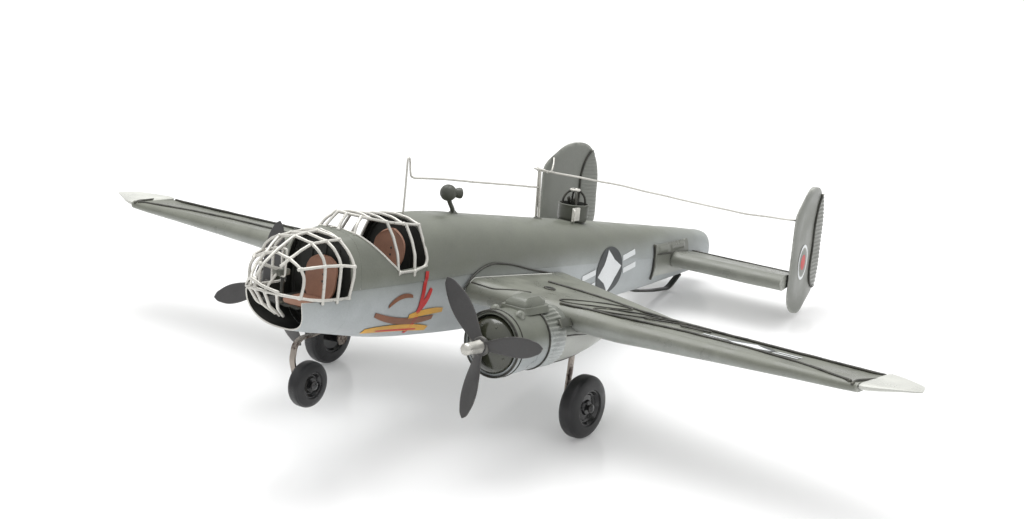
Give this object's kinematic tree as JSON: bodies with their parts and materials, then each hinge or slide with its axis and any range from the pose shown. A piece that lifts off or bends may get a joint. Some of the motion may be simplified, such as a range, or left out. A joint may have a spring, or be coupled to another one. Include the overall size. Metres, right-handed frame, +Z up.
{
  "type": "propeller plane model",
  "caption": "Sheet-metal display model of a twin-engine, twin-fin propeller aeroplane with spinning propellers, rolling wheels and wire-framed glazing.",
  "frame": {"origin": "on the floor, at the centre of the model's plan box, with the model standing on its main wheels and tail skid", "axes": "+Z up from the floor, +X along the wings towards the port tip, -Y towards the nose; the fuselage is tipped 9.8 degrees nose up"},
  "size_m": [0.498, 0.3786, 0.1317],
  "materials": {
    "olive_paint": "matte sprayed enamel, dark olive grey fading to pale blue grey below",
    "dark_interior": "matt near-black paint",
    "silver_wire": "silver enamel over soldered steel wire, rubbed",
    "seat_paint": "matte terracotta paint",
    "black_paint": "satin black paint",
    "prop_paint": "charcoal satin paint, worn along the edges",
    "bare_steel": "plated steel strip with brown wear",
    "spinner_metal": "rough silver",
    "tyre_rubber": "satin black rubber",
    "hub_black": "gloss black enamel"
  },
  "bodies": {
    "root": {"fuselage_upper_shell": "olive_paint", "fuselage_lower_shell": "olive_paint", "nose_tub": "olive_paint", "tail_end_cap": "olive_paint", "nose_bulkhead": "dark_interior", "cockpit_bulkhead": "dark_interior", "cabin_floor": "dark_interior", "nose_cage": "silver_wire", "cockpit_cage": "silver_wire", "bombardier_seat": "seat_paint", "pilot_seats": "seat_paint", "nose_gun": "black_paint", "antenna_mast_wire": "silver_wire", "antenna_post": "silver_wire", "port_antenna_lead": "silver_wire", "starboard_antenna_lead": "silver_wire", "beacon_ball": "olive_paint", "turret_drum": "olive_paint", "turret_hoops": "black_paint", "turret_guns": "black_paint", "wing_panel_wires": "black_paint", "stabiliser": "olive_paint", "stabiliser_root_plates": "olive_paint", "tail_skid": "black_paint", "nose_leg": "bare_steel", "nose_axle_pin": "hub_black", "port_wing": "olive_paint", "starboard_wing": "olive_paint", "port_wing_tip": "olive_paint", "starboard_wing_tip": "olive_paint", "port_wing_root_plate": "olive_paint", "starboard_wing_root_plate": "olive_paint", "port_nacelle": "olive_paint", "starboard_nacelle": "olive_paint", "port_cowling": "olive_paint", "starboard_cowling": "olive_paint", "port_cowl_flaps": "olive_paint", "starboard_cowl_flaps": "olive_paint", "port_engine_dome": "olive_paint", "starboard_engine_dome": "olive_paint", "port_intake_box": "olive_paint", "starboard_intake_box": "olive_paint", "port_main_leg": "bare_steel", "starboard_main_leg": "bare_steel", "port_fin": "olive_paint", "starboard_fin": "olive_paint", "port_rudder": "olive_paint", "starboard_rudder": "olive_paint", "port_axle_pin": "hub_black", "starboard_axle_pin": "hub_black"},
    "port_prop_body": {"port_propeller": "prop_paint", "port_prop_shaft": "spinner_metal"},
    "port_wheel_body": {"port_tyre": "tyre_rubber", "port_wheel_hub": "hub_black"},
    "starboard_prop_body": {"starboard_propeller": "prop_paint", "starboard_prop_shaft": "spinner_metal"},
    "starboard_wheel_body": {"starboard_tyre": "tyre_rubber", "starboard_wheel_hub": "hub_black"},
    "nose_wheel_body": {"nose_tyre": "tyre_rubber", "nose_wheel_hub": "hub_black"}
  },
  "joints": [
    {"name": "port_prop_spin", "type": "hinge", "parent": "root", "child": "port_prop_body", "pos_m": [0.0662, -0.11068, 0.06073], "axis": [0, 0.9854, -0.1702], "continuous": true},
    {"name": "port_wheel_roll", "type": "hinge", "parent": "root", "child": "port_wheel_body", "pos_m": [0.081, -0.05153, 0.0154], "axis": [1, 0, 0], "continuous": true},
    {"name": "starboard_prop_spin", "type": "hinge", "parent": "root", "child": "starboard_prop_body", "pos_m": [-0.0662, -0.11068, 0.06073], "axis": [0, 0.9854, -0.1702], "continuous": true},
    {"name": "starboard_wheel_roll", "type": "hinge", "parent": "root", "child": "starboard_wheel_body", "pos_m": [-0.081, -0.05153, 0.0154], "axis": [1, 0, 0], "continuous": true},
    {"name": "nose_wheel_roll", "type": "hinge", "parent": "root", "child": "nose_wheel_body", "pos_m": [0, -0.15376, 0.04047], "axis": [1, 0, 0], "continuous": true}
  ]
}
